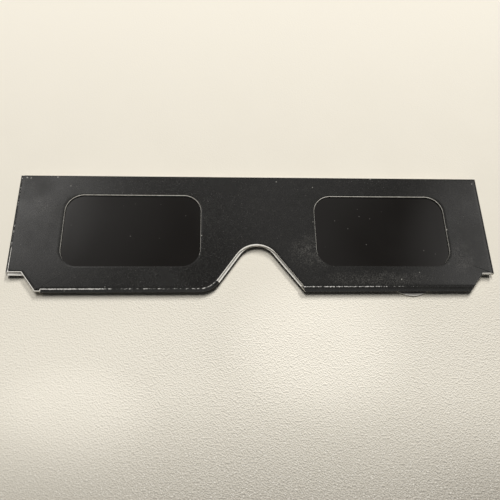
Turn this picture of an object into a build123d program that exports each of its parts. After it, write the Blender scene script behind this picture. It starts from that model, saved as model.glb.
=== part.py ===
from build123d import *
import os
from math import cos, radians, sin, tan

# Folded paper viewing glasses, lying closed with the printed front facing up.
# Millimetres. X runs across the front, +Y points to the brow edge, +Z out of the front.
# The origin is the middle of the overall outline, on the table under the lower temple.
# One die-cut board folds into the front, the rear panel and the two temples.

# Board, film and glue
board_thickness = 0.45
film_thickness = 0.1
glue_thickness = 0.05
layer_clearance = 0.15  # air between the loose temples and what they slide over
crease_clearance = 0.06  # slit that stays inside a side crease

# Front panel
front_width = 145.0  # outside of one side crease to the other
front_height = 37.8  # brow edge to the outside of the bottom folds
left_cut_height = 6.1  # end of the side crease up from the bottom edge
right_cut_height = 5.45
corner_cut_top = 3.9  # outside of the side crease to the corner cut, at the crease's end
corner_cut_bottom = 8.45  # the same at the bottom edge
corner_cut_shift = 0.4  # the corner cuts sit this far off the middle
short_edge_rise = 0.3  # bottom edge up to the short cut edge beside the left fold
short_edge_length = 1.65

# Windows
window_side_margin = 13.6  # outside of the side crease to the window
window_bridge = 35.2  # board left between the two windows
window_top_margin = 6.6
window_bottom_margin = 7.8
window_radius = 5.5
window_shift = 1.0  # the pair of windows sits this far off the middle

# Nose notch
notch_left_mouth = 13.8  # middle to the notch's left end, at the bottom edge
notch_right_mouth = 15.25
notch_rise = 19.7  # bottom edge up to where the two straight sides would meet
notch_peak_shift = 0.25  # that point sits this far off the middle
notch_radius = 7.1
notch_foot_radius = 7.0  # rounded inner corner of the left lobe, outside its fold

# Bottom folds, which join the front to the rear panel
left_fold_depth = 1.1
right_fold_depth = 1.6

# Rear panel
rear_top_inset = 0.8  # brow edge of the front to the rear panel's own top edge
rear_left_inset = 11.5  # outside of the side crease to the rear panel, at its top
rear_right_inset = 10.1
rear_corner_inset = 9.5  # the same at the slanted lower right corner
rear_corner_rise = 2.6  # height of that corner
rear_notch_inset = 0.75  # the rear panel shows this far past each side of the front's notch
rear_notch_radius = 5.8

# Filters and glue
film_margin = 2.0  # film past the window on each side
glue_lap = 0.4  # window edge to the glue
brow_strip_height = 2.0
brow_strip_inset = 1.2  # brow edge to the glue strip
brow_strip_end = 3.0  # rear panel's side to the strip's end

# Temples
temple_root_flat = 1.2
temple_slope = 5.5  # degrees, where a temple steps down under the layers above
temple_bend_radius = 20.0
temple_neck_start = 3.0
temple_neck_length = 40.0
arm_height = 16.5
hook_far_margin = 17.1  # tip of a temple to the outside of the far side crease
hook_tail = 0.7  # straight stretch between the right hook's bend and its round tip
left_root_overhang = 0.8  # the temple's root shows this far below the front, at the crease
right_root_overhang = 0.2
left_hook_overhang = 1.0  # the tip shows this far below the bottom edge
right_hook_setback = 0.85  # the tip stays this far above it

# Heights of the layers, from the table up
panel_gap = glue_thickness + film_thickness
right_temple_z = 0
left_temple_z = right_temple_z + board_thickness + layer_clearance
rear_z = left_temple_z + board_thickness + layer_clearance
film_z = rear_z + board_thickness
glue_z = film_z + film_thickness
front_z = glue_z + glue_thickness
root_top_z = front_z - crease_clearance

# Outline positions, measured from the brow edge down and from the middle out
left_reach = front_height + left_hook_overhang
right_reach = front_height - right_hook_setback
overall_height = max(front_height, left_reach)
brow_y = overall_height / 2
bottom_y = brow_y - front_height
peak_y = bottom_y + notch_rise
left_crease_length = front_height - left_cut_height
right_crease_length = front_height - right_cut_height
window_width = (front_width - window_bridge) / 2 - window_side_margin
window_height = front_height - window_top_margin - window_bottom_margin
window_spacing = window_width + window_bridge
window_y = brow_y - window_top_margin - window_height / 2
left_fold_y = bottom_y + left_fold_depth
right_fold_y = bottom_y + right_fold_depth
crease_x = front_width / 2 - board_thickness - crease_clearance / 2
crease_z = front_z - crease_clearance / 2
cut_top_left = corner_cut_shift + corner_cut_top - front_width / 2
cut_bottom_left = corner_cut_shift + corner_cut_bottom - front_width / 2
cut_top_right = corner_cut_shift - corner_cut_top + front_width / 2
cut_bottom_right = corner_cut_shift - corner_cut_bottom + front_width / 2
left_fold_start = cut_bottom_left + short_edge_length
short_edge_y = bottom_y + short_edge_rise
rear_left_top = rear_left_inset - front_width / 2
rear_right_top = front_width / 2 - rear_right_inset
rear_corner_x = front_width / 2 - rear_corner_inset
hook_end = front_width / 2 + crease_x - hook_far_margin  # length of a temple from its crease
hook_bend_radius = right_reach - arm_height / 2 - hook_tail

# The notch's straight sides lean in towards a peak, which is lower and narrower in the rear panel
left_lean = (notch_left_mouth + notch_peak_shift) / notch_rise  # sideways per length of height
right_lean = (notch_right_mouth - notch_peak_shift) / notch_rise
lean_angle = Vector(left_lean, -1).get_angle(Vector(0, -1))
side_across = Vector(cos(radians(lean_angle)), -sin(radians(lean_angle)))
rear_peak_drop = rear_notch_inset * 2 / (left_lean + right_lean)
front_peak = (notch_peak_shift, peak_y)
rear_peak = (notch_peak_shift + rear_notch_inset - rear_peak_drop * left_lean, peak_y - rear_peak_drop)
front_right_x = notch_peak_shift + (peak_y - right_fold_y) * right_lean
rear_right_x = front_right_x - rear_notch_inset

# The left lobe's inner corner is round: outside the fold it meets the rear panel's side of the notch
foot_path_radius = notch_foot_radius - left_fold_depth
foot_y = bottom_y + notch_foot_radius
foot_side_x = notch_peak_shift + rear_notch_inset - (peak_y - foot_y) * left_lean
foot_x = foot_side_x - notch_foot_radius / cos(radians(lean_angle))
foot_middle = Vector(foot_x, foot_y)
rear_side_start = foot_middle + side_across * notch_foot_radius
front_side_start = rear_side_start - side_across * (rear_notch_inset * cos(radians(lean_angle)))

# The right corner cut, carried up to the line where the right fold begins
right_cut_lean = (cut_top_right - cut_bottom_right) / right_cut_height
right_fold_end = cut_bottom_right + right_fold_depth * right_cut_lean


def lower_edge(side_start, peak, peak_radius, right_x):
    """Add a panel's lower edge, from the left fold's start round the notch to the right fold's end."""
    run = Line((left_fold_start, left_fold_y), (foot_x, left_fold_y))
    foot = JernArc(run @ 1, (1, 0), foot_path_radius, 90 - lean_angle)
    Line(foot @ 1, side_start)
    FilletPolyline(side_start, peak, (right_x, right_fold_y), radius=peak_radius)
    Line((right_x, right_fold_y), (right_fold_end, right_fold_y))


def window_holes():
    """Cut both windows out of the sketch in hand."""
    for side in (-1, 1):
        with Locations((window_shift + side * window_spacing / 2, window_y)):
            RectangleRounded(window_width, window_height, window_radius, mode=Mode.SUBTRACT)


def fold_section(depth):
    """Half of a flattened ring, opening along -X of its sketch: the board bent round on itself."""
    half_outer = board_thickness + panel_gap / 2
    Ellipse(depth, half_outer)
    Ellipse(depth - board_thickness, panel_gap / 2, mode=Mode.SUBTRACT)
    with Locations((-depth, 0)):
        Rectangle(depth * 2, half_outer * 2 + depth, mode=Mode.SUBTRACT)


# Front panel: the printed face, with two windows and the nose notch
with BuildPart() as front_panel:
    with BuildSketch(Plane.XY.offset(front_z)):
        with BuildLine():
            lower_edge(front_side_start, front_peak, notch_radius, front_right_x)
            Polyline(
                (right_fold_end, right_fold_y),
                (cut_top_right, brow_y - right_crease_length),
                (crease_x, brow_y - right_crease_length),
                (crease_x, brow_y),
                (-crease_x, brow_y),
                (-crease_x, brow_y - left_crease_length),
                (cut_top_left, brow_y - left_crease_length),
                (cut_bottom_left, short_edge_y),
                (left_fold_start, short_edge_y),
                (left_fold_start, left_fold_y),
            )
        make_face()
        window_holes()
    extrude(amount=board_thickness)
front_panel.part.label = "front_panel"

# Rear panel: folded up behind the front and glued to it
with BuildPart() as rear_panel:
    with BuildSketch(Plane.XY.offset(rear_z)):
        with BuildLine():
            lower_edge(rear_side_start, rear_peak, rear_notch_radius, rear_right_x)
            Polyline(
                (right_fold_end, right_fold_y),
                (rear_corner_x, right_fold_y + rear_corner_rise),
                (rear_right_top, brow_y - rear_top_inset),
                (rear_left_top, brow_y - rear_top_inset),
                (left_fold_start, left_fold_y),
            )
        make_face()
        window_holes()
    extrude(amount=board_thickness)
rear_panel.part.label = "rear_panel"

# Left bottom fold: runs along the lobe and round its inner corner
fold_z = rear_z + board_thickness + panel_gap / 2
with BuildPart() as left_bottom_fold:
    with BuildLine() as left_fold_path:
        fold_run = Line((left_fold_start, left_fold_y, fold_z), (foot_x, left_fold_y, fold_z))
        JernArc(fold_run @ 1, (1, 0), foot_path_radius, 90 - lean_angle)
    with BuildSketch(Plane(fold_run @ 0, x_dir=(0, -1, 0), z_dir=(1, 0, 0))):
        fold_section(left_fold_depth)
    sweep(path=left_fold_path.wire())
left_bottom_fold.part.label = "left_bottom_fold"

# Right bottom fold: straight, cut off by the notch's side and by the corner cut
with BuildPart() as right_bottom_fold:
    with BuildSketch(Plane((0, right_fold_y, fold_z), x_dir=(0, -1, 0), z_dir=(1, 0, 0))):
        fold_section(right_fold_depth)
    extrude(amount=right_fold_end)
    with BuildSketch(Plane.XY):
        with BuildLine():
            Polyline(
                (rear_right_x, right_fold_y),
                (notch_right_mouth - rear_notch_inset, bottom_y),
                (cut_bottom_right, bottom_y),
                (right_fold_end, right_fold_y),
                close=True,
            )
        make_face()
    extrude(amount=front_z + board_thickness, mode=Mode.INTERSECT)
right_bottom_fold.part.label = "right_bottom_fold"

# Brow glue strip: holds the two panels together along the top
with BuildPart() as brow_glue_strip:
    strip_left = rear_left_top + brow_strip_end
    strip_right = rear_right_top - brow_strip_end
    strip_y = brow_y - brow_strip_inset - brow_strip_height / 2
    with BuildSketch(Plane.XY.offset(film_z)):
        with Locations(((strip_left + strip_right) / 2, strip_y)):
            SlotOverall(strip_right - strip_left, brow_strip_height)
    extrude(amount=panel_gap)
brow_glue_strip.part.label = "brow_glue_strip"

pieces = [front_panel, rear_panel, left_bottom_fold, right_bottom_fold, brow_glue_strip]

# What each side has: a filter, its glue frame, a side crease and a temple
film_width = window_width + film_margin * 2
film_height = window_height + film_margin * 2
sides = [
    ("left", -1, left_crease_length, left_root_overhang, left_temple_z, left_reach),
    ("right", 1, right_crease_length, right_root_overhang, right_temple_z, right_reach),
]
for name, side, crease_length, root_overhang, level_z, reach in sides:
    root_length = crease_length + root_overhang
    window_middle = (window_shift + side * window_spacing / 2, window_y)

    # Filter: dark film laid over the window from behind
    with BuildPart() as window_filter:
        with BuildSketch(Plane.XY.offset(film_z)):
            with Locations(window_middle):
                Rectangle(film_width, film_height)
        extrude(amount=film_thickness)
    window_filter.part.label = name + "_filter"

    # Glue frame: sticks the film's margin to the back of the front panel
    with BuildPart() as glue_frame:
        with BuildSketch(Plane.XY.offset(glue_z)):
            with Locations(window_middle):
                Rectangle(film_width, film_height)
                RectangleRounded(
                    window_width + glue_lap * 2,
                    window_height + glue_lap * 2,
                    window_radius + glue_lap,
                    mode=Mode.SUBTRACT,
                )
        extrude(amount=glue_thickness)
    glue_frame.part.label = name + "_glue_frame"

    # Side crease: the board bent double at the front's end, cut off slanting where the root is longer
    with BuildPart() as temple_crease:
        with BuildSketch(Plane((side * crease_x, brow_y, crease_z), x_dir=(side, 0, 0), z_dir=(0, -side, 0))):
            Circle(board_thickness + crease_clearance / 2)
            Circle(crease_clearance / 2, mode=Mode.SUBTRACT)
            with Locations((-board_thickness, 0)):
                Rectangle(board_thickness * 2, board_thickness * 4, mode=Mode.SUBTRACT)
        extrude(amount=side * root_length)
        with BuildSketch(Plane.YZ):
            with BuildLine():
                Polyline(
                    (brow_y, 0),
                    (brow_y, front_z + board_thickness),
                    (brow_y - crease_length, front_z + board_thickness),
                    (brow_y - root_length, root_top_z - board_thickness),
                    (brow_y - root_length, 0),
                    close=True,
                )
            make_face()
        extrude(amount=front_width, both=True, mode=Mode.INTERSECT)
    temple_crease.part.label = name + "_temple_crease"

    # Temple: arm and ear hook, stepped down from the crease to its own level
    def place(along, down):
        """A point of the temple's outline, along it from the crease and down from its top edge."""
        return (side * (crease_x - along), brow_y - down)

    tail_end = reach - arm_height / 2
    neck_end = temple_neck_start + temple_neck_length
    hook_start = hook_end - hook_bend_radius
    hook_inner = hook_end - arm_height
    inner_bend = hook_bend_radius - arm_height
    half_turn = radians(45)
    with BuildPart() as temple:
        drop = root_top_z - board_thickness - level_z
        slope_run = drop / tan(radians(temple_slope))
        stations = [0, temple_root_flat, temple_root_flat + slope_run, hook_end]
        heights = [root_top_z, root_top_z, root_top_z - drop, root_top_z - drop]
        upper_points = [(side * (crease_x - u), z) for u, z in zip(stations, heights)]
        lower_points = [(x, z - board_thickness) for x, z in upper_points]
        with BuildSketch(Plane.XZ):
            with BuildLine():
                upper = FilletPolyline(*upper_points, radius=temple_bend_radius)
                lower = FilletPolyline(*lower_points, radius=temple_bend_radius)
                Line(upper @ 0, lower @ 0)
                Line(upper @ 1, lower @ 1)
            make_face()
        extrude(amount=overall_height, both=True)
        with BuildSketch(Plane.XY):
            with BuildLine():
                Line(place(0, 0), place(hook_start, 0))
                ThreePointArc(
                    place(hook_start, 0),
                    place(
                        hook_start + hook_bend_radius * sin(half_turn),
                        hook_bend_radius - hook_bend_radius * cos(half_turn),
                    ),
                    place(hook_end, hook_bend_radius),
                )
                Line(place(hook_end, hook_bend_radius), place(hook_end, tail_end))
                ThreePointArc(
                    place(hook_end, tail_end),
                    place(hook_end - arm_height / 2, tail_end + arm_height / 2),
                    place(hook_inner, tail_end),
                )
                Line(place(hook_inner, tail_end), place(hook_inner, hook_bend_radius))
                ThreePointArc(
                    place(hook_inner, hook_bend_radius),
                    place(
                        hook_start + inner_bend * sin(half_turn),
                        hook_bend_radius - inner_bend * cos(half_turn),
                    ),
                    place(hook_start, arm_height),
                )
                Line(place(hook_start, arm_height), place(neck_end, arm_height))
                neck_middle = place(
                    temple_neck_start + temple_neck_length / 2, (arm_height + root_length) / 2
                )
                TangentArc(place(neck_end, arm_height), neck_middle, tangent=(side, 0))
                TangentArc(place(temple_neck_start, root_length), neck_middle, tangent=(-side, 0))
                Polyline(place(temple_neck_start, root_length), place(0, root_length), place(0, 0))
            make_face()
        extrude(amount=root_top_z, mode=Mode.INTERSECT)
    temple.part.label = name + "_temple"

    pieces += [window_filter, glue_frame, temple_crease, temple]

os.makedirs("parts", exist_ok=True)
for piece in pieces:
    export_step(piece.part, "parts/" + piece.part.label + ".step")
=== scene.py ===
import math
import bmesh
import bpy
import numpy as np
from mathutils import Matrix, Vector


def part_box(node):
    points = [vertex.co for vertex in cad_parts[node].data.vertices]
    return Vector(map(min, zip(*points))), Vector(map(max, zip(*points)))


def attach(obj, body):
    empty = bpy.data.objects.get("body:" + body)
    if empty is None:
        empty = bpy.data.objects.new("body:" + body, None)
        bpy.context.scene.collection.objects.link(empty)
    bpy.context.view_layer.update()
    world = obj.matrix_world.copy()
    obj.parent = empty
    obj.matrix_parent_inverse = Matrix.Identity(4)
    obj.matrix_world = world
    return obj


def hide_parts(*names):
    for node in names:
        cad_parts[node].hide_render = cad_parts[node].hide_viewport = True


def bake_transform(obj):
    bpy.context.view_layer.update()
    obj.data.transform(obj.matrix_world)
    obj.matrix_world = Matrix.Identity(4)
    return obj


# Folded paper viewing glasses on a pale table. Lengths are millimetres until a mesh is made.
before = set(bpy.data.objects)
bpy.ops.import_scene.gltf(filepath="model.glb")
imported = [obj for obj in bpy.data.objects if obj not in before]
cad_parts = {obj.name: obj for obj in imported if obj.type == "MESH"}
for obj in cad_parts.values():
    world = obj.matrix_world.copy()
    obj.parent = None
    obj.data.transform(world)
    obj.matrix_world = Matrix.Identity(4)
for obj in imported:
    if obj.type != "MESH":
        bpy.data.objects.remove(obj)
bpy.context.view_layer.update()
perMetre = 1000.0
print("frame loaded:", len(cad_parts), "nodes")


def boxOf(node):
    low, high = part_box(node)
    return np.array(low) * perMetre, np.array(high) * perMetre


# Where the frame puts the panels, folds and creases
frontLow, frontHigh = boxOf("front_panel")
rearLow, rearHigh = boxOf("rear_panel")
leftFoldLow, rightFoldHigh = boxOf("left_bottom_fold")[0], boxOf("right_bottom_fold")[1]
sides = ("left", "right")
creaseBox = {side: boxOf(side + "_temple_crease") for side in sides}

# The die-cut outline
cut = dict(
    windowRadius=5.5, filmMargin=2.0,
    cutTop=3.9, cutBottom=8.45, cutShift=0.4,
    notchRise=19.7, notchLeft=13.8, notchRight=15.25, peakShift=0.25, notchRadius=7.55,
    footRadius=7.0, rearNotchInset=0.75, rearNotchRadius=6.2,
    rearCornerInset=9.5, rearCornerRise=2.6, rearLeftInset=11.5, rearRightInset=10.1,
    leftRootLap=0.8, rightRootLap=0.2,
)
frontTop, frontUnder = frontHigh[2], frontLow[2]
rearTop, rearUnder = rearHigh[2], rearLow[2]
browY, shortY = frontHigh[1], frontLow[1]
bottomY = leftFoldLow[1]
leftFoldY, rightFoldY = rearLow[1], rightFoldHigh[1]
creaseX = frontHigh[0]
halfWidth = creaseBox["right"][1][0]
leftRootY, rightRootY = (creaseBox[side][0][1] for side in sides)
leftStepY, rightStepY = leftRootY + cut["leftRootLap"], rightRootY + cut["rightRootLap"]
leftCutTop = cut["cutShift"] + cut["cutTop"] - halfWidth
leftCutBottom = cut["cutShift"] + cut["cutBottom"] - halfWidth
rightCutTop = cut["cutShift"] - cut["cutTop"] + halfWidth
rightCutBottom = cut["cutShift"] - cut["cutBottom"] + halfWidth
leftFoldStart = leftFoldLow[0]
leftFoldDepth, rightFoldDepth = leftFoldY - bottomY, rightFoldY - bottomY
rightCutLean = (rightCutTop - rightCutBottom) / (rightStepY - bottomY)
rightFoldEnd = rightCutBottom + rightFoldDepth * rightCutLean

# The notch: two straight sides that lean in to a peak, rounded off below it. The rear panel's is
# narrower, and its left side carries on round the lobe's corner.
peakY = bottomY + cut["notchRise"]
leftLean = (cut["notchLeft"] + cut["peakShift"]) / cut["notchRise"]
rightLean = (cut["notchRight"] - cut["peakShift"]) / cut["notchRise"]
rearDrop = cut["rearNotchInset"] * 2 / (leftLean + rightLean)
rearPeakX = cut["peakShift"] + cut["rearNotchInset"]
peaks = dict(
    notch=(cut["peakShift"], peakY),
    rearNotch=(rearPeakX - rearDrop * leftLean, peakY - rearDrop),
)
notchRadii = dict(notch=cut["notchRadius"], rearNotch=cut["rearNotchRadius"])
rightEnds = dict(notch=cut["peakShift"] + (peakY - rightFoldY) * rightLean)
rightEnds["rearNotch"] = rightEnds["notch"] - cut["rearNotchInset"]
footLean = math.atan(leftLean)
footY = bottomY + cut["footRadius"]
footX = rearPeakX - (peakY - footY) * leftLean - cut["footRadius"] / math.cos(footLean)
footWay = np.array([math.cos(footLean), -math.sin(footLean)])
footSeam = np.array([footX, footY]) + footWay * (cut["footRadius"] - leftFoldDepth)
sideStarts = dict(rearNotch=np.array([footX, footY]) + footWay * cut["footRadius"])
sideStarts["notch"] = sideStarts["rearNotch"] - footWay * cut["rearNotchInset"] * math.cos(footLean)


# Straight stretches and arcs, as evenly spaced points: steps along long edges, the notch, cuts and the tab
longStep, sideStep, fineStep, tabStep = 0.8, 0.5, 0.3, 0.2


def stretch(start, end, spacing=longStep):
    start, end = np.array(start, float), np.array(end, float)
    count = max(2, int(np.ceil(np.linalg.norm(end - start) / spacing)) + 1)
    return start + (end - start) * np.linspace(0, 1, count)[:, None]


def towards(angle):
    return np.stack([np.cos(angle), np.sin(angle)], axis=1)


def arc(centre, radius, fromAngle, toAngle, spacing=fineStep):
    count = max(4, int(np.ceil(abs(toAngle - fromAngle) * radius / spacing)) + 1)
    return np.array(centre) + radius * towards(np.linspace(fromAngle, toAngle, count))


# The notch's arc: its middle lies below the peak on the line that halves the angle of the two sides, and
# it is cut in two where it crosses the middle of the front
def notchArcs(kind):
    leftAngle, rightAngle = math.atan(leftLean), math.atan(rightLean)
    half, tilt = (leftAngle + rightAngle) / 2, (rightAngle - leftAngle) / 2
    radius = notchRadii[kind]
    centre = np.array(peaks[kind]) + np.array([math.sin(tilt), -math.cos(tilt)]) * radius / math.sin(half)
    crossing = math.acos(-centre[0] / radius)
    return arc(centre, radius, math.pi - leftAngle, crossing), arc(centre, radius, crossing, rightAngle)


# Straight edges one after the other, each given as its kind, its end and its step
def chain(start, *edges):
    made = []
    for kind, end, *spacing in edges:
        made.append((kind, stretch(start, end, *spacing)))
        start = end
    return made


# A closed outline from its stretches, with the kind of edge at each point
def joinStretches(*stretches):
    points = np.concatenate([line[:-1] for kind, line in stretches])
    kinds = np.concatenate([[kind] * (len(line) - 1) for kind, line in stretches])
    return points, kinds


# Sideways direction at each point of a closed loop: the sum of its two edges' normals over one plus
# their product, which keeps offset edges parallel round a corner
def sideways(loop):
    before = loop - np.roll(loop, 1, axis=0)
    after = np.roll(loop, -1, axis=0) - loop
    normals = []
    for run in (before, after):
        run = run / np.linalg.norm(run, axis=1, keepdims=True)
        normals.append(np.stack([run[:, 1], -run[:, 0]], axis=1))
    dot = (normals[0] * normals[1]).sum(axis=1, keepdims=True)
    return (normals[0] + normals[1]) / (1 + dot)


# A board piece's finishes, in the order of its material slots
printedSlot, coreSlot, bareSlot, windowSlot = range(4)


# Faces of a grid of points, counted row by row
def gridFaces(rows, columns, wrapRows=False, wrapColumns=False):
    number = np.arange(rows * columns).reshape(rows, columns)
    if wrapRows:
        number = np.vstack([number, number[:1]])
    if wrapColumns:
        number = np.hstack([number, number[:, :1]])
    return np.stack([number[:-1, :-1], number[1:, :-1], number[1:, 1:], number[:-1, 1:]], axis=-1)


# Limits in metres for points to merge and for slivers to go, and the angle past which an edge stays sharp
meshing = dict(mergeWithin=2e-7, sliver=1e-8, sharpFrom=math.radians(38))


def addObject(name, data):
    thing = bpy.data.objects.new(name, data)
    bpy.context.scene.collection.objects.link(thing)
    return thing


# A piece from its parts, each of them points, faces, their slots and the wear at the points
def makePiece(name, parts, materials):
    first = np.cumsum([0] + [part[0].size // 3 for part in parts])
    points = np.concatenate([part[0].reshape(-1, 3) for part in parts])
    faces = np.concatenate([part[1].reshape(-1, 4) + start for part, start in zip(parts, first)])
    slots, wear = (np.concatenate([part[k].reshape(-1) for part in parts]) for k in (2, 3))
    mesh = bpy.data.meshes.new(name)
    mesh.from_pydata((points / perMetre).tolist(), [], faces.tolist())
    for material in materials:
        mesh.materials.append(material)
    mesh.polygons.foreach_set("material_index", slots.astype(np.int32))
    worn = mesh.attributes.new("wear", "FLOAT", "POINT")
    worn.data.foreach_set("value", wear.astype(np.float32))
    work = bmesh.new()
    work.from_mesh(mesh)
    bmesh.ops.remove_doubles(work, verts=work.verts, dist=meshing["mergeWithin"])
    bmesh.ops.dissolve_degenerate(work, edges=work.edges, dist=meshing["sliver"])
    bmesh.ops.delete(work, geom=[v for v in work.verts if not v.link_faces], context="VERTS")
    bmesh.ops.recalc_face_normals(work, faces=work.faces)
    openEdges = sum(1 for e in work.edges if len(e.link_faces) != 2)
    work.to_mesh(mesh)
    work.free()
    mesh.polygons.foreach_set("use_smooth", np.ones(len(mesh.polygons), bool))
    mesh.set_sharp_from_angle(angle=meshing["sharpFrom"])
    print("piece:", name, len(mesh.polygons), "faces,", openEdges, "open edges")
    return addObject(name, mesh)


# Cut edges of the board, by kind: how far the laminate rounds over, how deep, the pale lip that the die
# crushed inside its line, how far the core stands out below, how worn the rim is, and how much more lip
# and core there is on an edge that faces right, or for a window up. The notch's top has the widest lip.
edge = dict(
    bareRim=0.22, bareFall=0.05, lipFall=0.15, coreRound=0.7, crownFrom=0.65, crownLip=2.0, wornBelow=-5.0,
    turn=np.radians([0, 25, 50, 70, 90]),
    coreShares=np.array([0.0, 0.35, 0.7, 1.0]),
    wearAlong=np.array([0.2, 0.8, 1.0, 1.0, 0.9, 0, 0, 0, 0, 0]),
    kinds=dict(
        middle=(0.0, 0.0, 0.0, 0.0, 0.0, 0.0),
        brow=(0.04, 0.06, -0.07, 0.12, 0.2, 0.0),
        leftCrease=(0.08, 0.05, 0.0, 0.0, 0.35, 0.0),
        wornCrease=(0.08, 0.05, 0.10, 0.0, 0.9, 0.0),
        rightCrease=(0.08, 0.06, 0.0, 0.0, 0.0, 0.0),
        step=(0.08, 0.08, 0.22, 0.05, 0.3, 0.0),
        slant=(0.08, 0.08, 0.22, 0.06, 0.3, 0.0),
        rightSlant=(0.08, 0.10, 0.0, 0.0, 0.1, 0.0),
        rearSlant=(0.10, 0.12, 0.0, 0.0, 0.1, 0.0),
        short=(0.08, 0.08, 0.20, 0.06, 0.4, 0.0),
        seam=(0.22, 0.12, 0.0, 0.0, 0.0, 0.0),
        notch=(0.06, 0.06, 0.14, 0.04, 0.2, 0.8),
        rearNotch=(0.08, 0.10, 0.0, 0.02, 0.1, 0.0),
        side=(0.08, 0.08, 0.0, 0.04, 0.25, 0.0),
        window=(0.05, 0.05, 0.04, 0.0, 0.1, 2.4),
    ),
)


# The cut edge as rows from the laminated face round to the bare face: a quarter round of laminate, the
# pale lip sloping down to the die's line, the core below it, then the bare rim, whose bright fibres the
# die rounded a little
def edgeInsets(kinds, facing=0.0, crown=0.0):
    rim, drop, lip, flare, worn, favour = np.array([edge["kinds"][kind] for kind in kinds]).T
    more = np.maximum(0, 1 + favour * facing) + edge["crownLip"] * crown
    lip, flare = lip * more, flare * more
    insets = [lip + rim * (1 - math.sin(a)) for a in edge["turn"]]
    insets += [np.minimum(lip, 0) - flare * share ** edge["coreRound"] for share in edge["coreShares"]]
    insets.append(insets[-1] + edge["bareRim"])
    depths = [drop * (1 - math.cos(a)) for a in edge["turn"]]
    depths.append(drop + np.maximum(lip, 0) * edge["lipFall"])
    return np.array(insets), np.array(depths), worn


# Heights of the same rows
def edgeHeights(depths, laminateZ, bareZ):
    way = np.sign(laminateZ - bareZ)
    rows = list(laminateZ - way * depths)
    foot = bareZ + way * edge["bareFall"]
    rows += [rows[-1] + (foot - rows[-1]) * share for share in edge["coreShares"][1:]]
    return np.array(rows + [np.full_like(rows[0], bareZ)])


def raised(rows, heights):
    return np.concatenate([rows, np.broadcast_to(heights, rows.shape[:2])[:, :, None]], axis=2)


def edgeSlots(core=coreSlot):
    return [printedSlot] * (len(edge["turn"]) - 1) + [core] * (len(edge["coreShares"]) + 1)


tiny = 1e-6


# Distance from a window's middle to its rounded outline, along each angle
def windowLoop(angle, middle, half):
    way = towards(angle)
    straight = (half / np.maximum(np.abs(way), tiny)).min(axis=1)
    corner = half - cut["windowRadius"]
    along = np.abs(way) @ corner
    under = np.maximum(along ** 2 - corner @ corner + cut["windowRadius"] ** 2, 0)
    inCorner = (np.abs(way) * straight[:, None] > corner).all(axis=1)
    reach = np.where(inCorner, along + np.sqrt(under), straight)[:, None] * way
    outward = reach - np.clip(reach, -corner, corner)
    return middle + reach, outward / np.linalg.norm(outward, axis=1, keepdims=True)


faceRows = 14


# Half of a panel: a ring whose one parameter is the angle about the window's middle, and whose other
# goes round the section: laminated face, cut edge, bare face, window edge and back
def halfPanel(points, kinds, middle, half, laminateZ, bareZ):
    onMiddle = np.abs(points[:, 0]) < tiny
    centreLine = np.flatnonzero(onMiddle)
    top = centreLine[points[centreLine, 1].argmax()]
    bottom = centreLine[points[centreLine, 1].argmin()]
    kinds = kinds.copy()
    kinds[top] = "brow"
    kinds[bottom] = "rearNotch" if "rearNotch" in kinds else "notch"
    outward = sideways(points)
    outward[onMiddle] = 0
    outward[top, 1], outward[bottom, 1] = 1, -1
    crown = np.clip((-outward[:, 1] - edge["crownFrom"]) / (1 - edge["crownFrom"]), 0, 1)
    insets, depths, worn = edgeInsets(kinds, outward[:, 0], crown * (kinds == "notch"))
    outer = raised(points - outward * insets[:, :, None], edgeHeights(depths, laminateZ, bareZ))
    outer[:, :, 0] = np.clip(outer[:, :, 0], -creaseX, creaseX)  # corners stay clear of the opened temples
    # the tab beside the left fold is drawn in to the fold line first, so the ring has no overhang
    guides = outer[[0, -1]].copy()
    guides[:, :, 1] = np.maximum(guides[:, :, 1], leftFoldY + edge["kinds"]["seam"][0])
    angle = np.unwrap(np.arctan2(guides[0, :, 1] - middle[1], guides[0, :, 0] - middle[0]))
    angle = np.maximum.accumulate(angle)
    window, windowOut = windowLoop(angle, middle, half)
    insetsW, depthsW, wornW = edgeInsets(["window"] * len(points), windowOut[:, 1])
    inner = raised(window + windowOut * insetsW[:, :, None], edgeHeights(depthsW, laminateZ, bareZ))
    share = np.linspace(0, 1, faceRows + 2)[1:-1, None, None]
    bareFace = guides[1] + (inner[-1] - guides[1]) * share
    printedFace = inner[0] + (guides[0] - inner[0]) * share
    rows = np.concatenate([outer, guides[1:], bareFace, inner[::-1], printedFace, guides[:1]])
    bareStrips, printedStrips = [bareSlot] * (faceRows + 2), [printedSlot] * (faceRows + 2)
    strips = np.array(edgeSlots() + bareStrips + edgeSlots(windowSlot)[::-1] + printedStrips)
    wear = np.zeros(rows.shape[:2])
    wear[:len(outer)] = edge["wearAlong"][:, None] * worn
    innerStart = len(outer) + 1 + faceRows
    wear[innerStart:innerStart + len(outer)] = edge["wearAlong"][::-1, None] * wornW
    faces = gridFaces(*rows.shape[:2], wrapRows=True, wrapColumns=True)
    slots = np.repeat(strips[:, None], rows.shape[1], axis=1)
    keep = np.ones(slots.shape, bool)
    keep[:len(outer), onMiddle & np.roll(onMiddle, -1)] = False
    return rows, faces[keep], slots[keep], wear


def windowOf(side):
    low, high = boxOf(side + "_filter")
    return (low + high)[:2] / 2, (high - low)[:2] / 2 - cut["filmMargin"]


# Both panels' lower edges are made alike; what differs is the way from the fold to the brow
def leftHalf(top, kind, corner):
    bend = notchArcs(kind)[0]
    foot = arc((footX, footY), cut["footRadius"] - leftFoldDepth, -math.pi / 2, -footLean, fineStep / 2)
    return joinStretches(
        ("middle", stretch(bend[-1], (0, top))), *corner,
        ("seam", stretch((leftFoldStart, leftFoldY), (footX, leftFoldY))),
        ("seam", foot), ("seam", stretch(footSeam, sideStarts[kind], fineStep)),
        (kind, stretch(sideStarts[kind], bend[0], sideStep)), (kind, bend),
    )


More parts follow.
